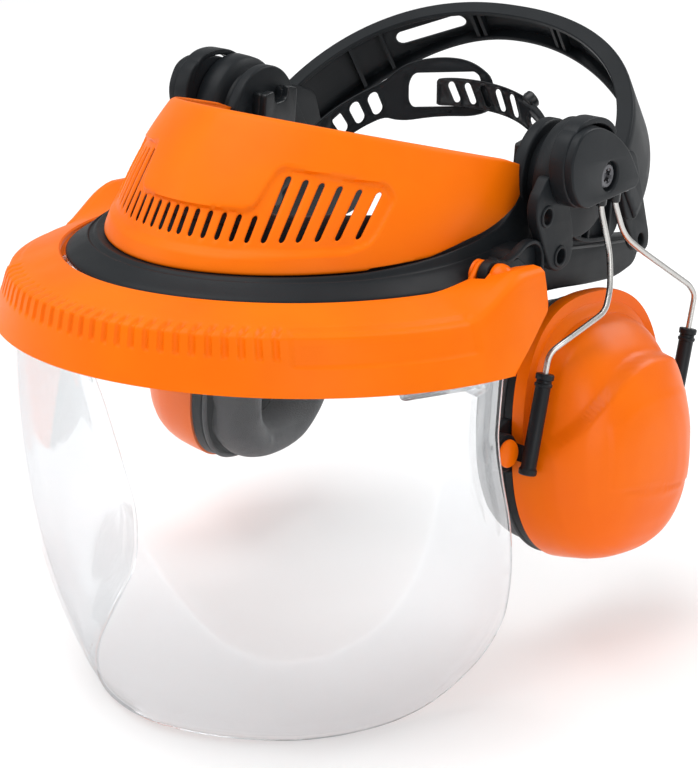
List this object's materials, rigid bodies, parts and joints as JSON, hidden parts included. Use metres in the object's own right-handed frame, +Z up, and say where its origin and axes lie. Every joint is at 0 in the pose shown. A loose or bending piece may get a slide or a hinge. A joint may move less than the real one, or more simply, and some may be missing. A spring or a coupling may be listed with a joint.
{
  "type": "forestry face shield with ear muffs",
  "caption": "Brow guard with flip-up clear face visor, vented forehead shell, rear hoop and nape strap, and swing-out sprung ear muffs on wire arms.",
  "frame": {"origin": "middle of the wearer's head, 30 mm behind and 5 mm above the middle of the visor's hinge line before the 6.5 degree tip", "axes": "+Z up, +Y towards the back of the head, +X towards the wearer's left"},
  "size_m": [0.2568, 0.3127, 0.2444],
  "materials": {
    "orange_shell": "semi-gloss moulded orange",
    "black_frame": "fine-grained satin black",
    "clear_sheet": "clear polished polycarbonate",
    "steel_wire": "drawn spring steel",
    "screw_steel": "dulled steel",
    "soft_cushion": "soft grained vinyl over foam",
    "pad_foam": "perforated sweatband",
    "liner_foam": "open-cell foam"
  },
  "bodies": {
    "frame": {"brow_frame": "black_frame", "brow_guard": "orange_shell", "forehead_pad": "pad_foam", "hub_bracket_left": "black_frame", "hub_bracket_right": "black_frame", "strap_clip_left": "black_frame", "strap_clip_right": "black_frame"},
    "visor": {"visor_band": "orange_shell", "visor_sheet": "clear_sheet", "visor_studs": "black_frame", "visor_pin_left": "orange_shell", "visor_pin_right": "orange_shell", "visor_latch_left": "clear_sheet", "visor_latch_right": "clear_sheet"},
    "rear_hoop_body": {"rear_hoop": "black_frame", "hoop_side_left": "black_frame", "hoop_side_right": "black_frame"},
    "nape_strap": {"nape_strap_left": "black_frame", "nape_strap_right": "black_frame"},
    "hub_left": {"hub_cap_left": "black_frame", "hub_screw_left": "screw_steel"},
    "arm_left": {"arm_yoke_left": "black_frame", "front_wire_left": "steel_wire", "rear_wire_left": "steel_wire"},
    "slider_left": {"front_sleeve_left": "black_frame", "rear_sleeve_left": "black_frame"},
    "muff_left": {"ear_cup_left": "orange_shell", "cup_plate_left": "black_frame", "cup_pins_left": "orange_shell", "ear_cushion_left": "soft_cushion", "cup_foam_left": "liner_foam"},
    "hub_right": {"hub_cap_right": "black_frame", "hub_screw_right": "screw_steel"},
    "arm_right": {"arm_yoke_right": "black_frame", "front_wire_right": "steel_wire", "rear_wire_right": "steel_wire"},
    "slider_right": {"front_sleeve_right": "black_frame", "rear_sleeve_right": "black_frame"},
    "muff_right": {"ear_cup_right": "orange_shell", "cup_plate_right": "black_frame", "cup_pins_right": "orange_shell", "ear_cushion_right": "soft_cushion", "cup_foam_right": "liner_foam"}
  },
  "joints": [
    {"name": "visor_flip", "type": "hinge", "parent": "frame", "child": "visor", "pos_m": [0, -0.03037, -0.00157], "axis": [-1, 0, 0], "range_deg": [0, 72]},
    {"name": "hoop_tilt", "type": "hinge", "parent": "frame", "child": "rear_hoop_body", "pos_m": [0, 0.03275, 0.02244], "axis": [1, 0, 0], "range_deg": [-6, 10]},
    {"name": "nape_tilt", "type": "hinge", "parent": "frame", "child": "nape_strap", "pos_m": [0, 0.02978, -0.01245], "axis": [1, 0, 0], "range_deg": [-8, 6]},
    {"name": "hub_swivel_left", "type": "hinge", "parent": "frame", "child": "hub_left", "pos_m": [0.095, 0.03275, 0.02244], "axis": [-1, 0, 0], "range_deg": [-8, 4]},
    {"name": "arm_swing_left", "type": "hinge", "parent": "hub_left", "child": "arm_left", "pos_m": [0.0955, 0.0482, 0.01665], "axis": [0, -0.9936, 0.1132], "range_deg": [0, 25], "stiffness_Nm_per_rad": 4, "springref_deg": -6.88},
    {"name": "muff_height_left", "type": "slide", "parent": "arm_left", "child": "slider_left", "axis": [0, 0.284, 0.9588], "range_m": [-0.018, 0.0015]},
    {"name": "muff_tilt_left", "type": "hinge", "parent": "slider_left", "child": "muff_left", "pos_m": [0.09117, 0.04231, -0.08755], "axis": [0.1219, 0.9862, -0.1124], "range_deg": [-6, 6]},
    {"name": "hub_swivel_right", "type": "hinge", "parent": "frame", "child": "hub_right", "pos_m": [-0.095, 0.03275, 0.02244], "axis": [-1, 0, 0], "range_deg": [-8, 4]},
    {"name": "arm_swing_right", "type": "hinge", "parent": "hub_right", "child": "arm_right", "pos_m": [-0.0955, 0.0482, 0.01665], "axis": [0, 0.9936, -0.1132], "range_deg": [0, 25], "stiffness_Nm_per_rad": 4, "springref_deg": -6.88},
    {"name": "muff_height_right", "type": "slide", "parent": "arm_right", "child": "slider_right", "axis": [0, 0.284, 0.9588], "range_m": [-0.018, 0.0015]},
    {"name": "muff_tilt_right", "type": "hinge", "parent": "slider_right", "child": "muff_right", "pos_m": [-0.09117, 0.04231, -0.08755], "axis": [-0.1219, 0.9862, -0.1124], "range_deg": [-6, 6]}
  ]
}
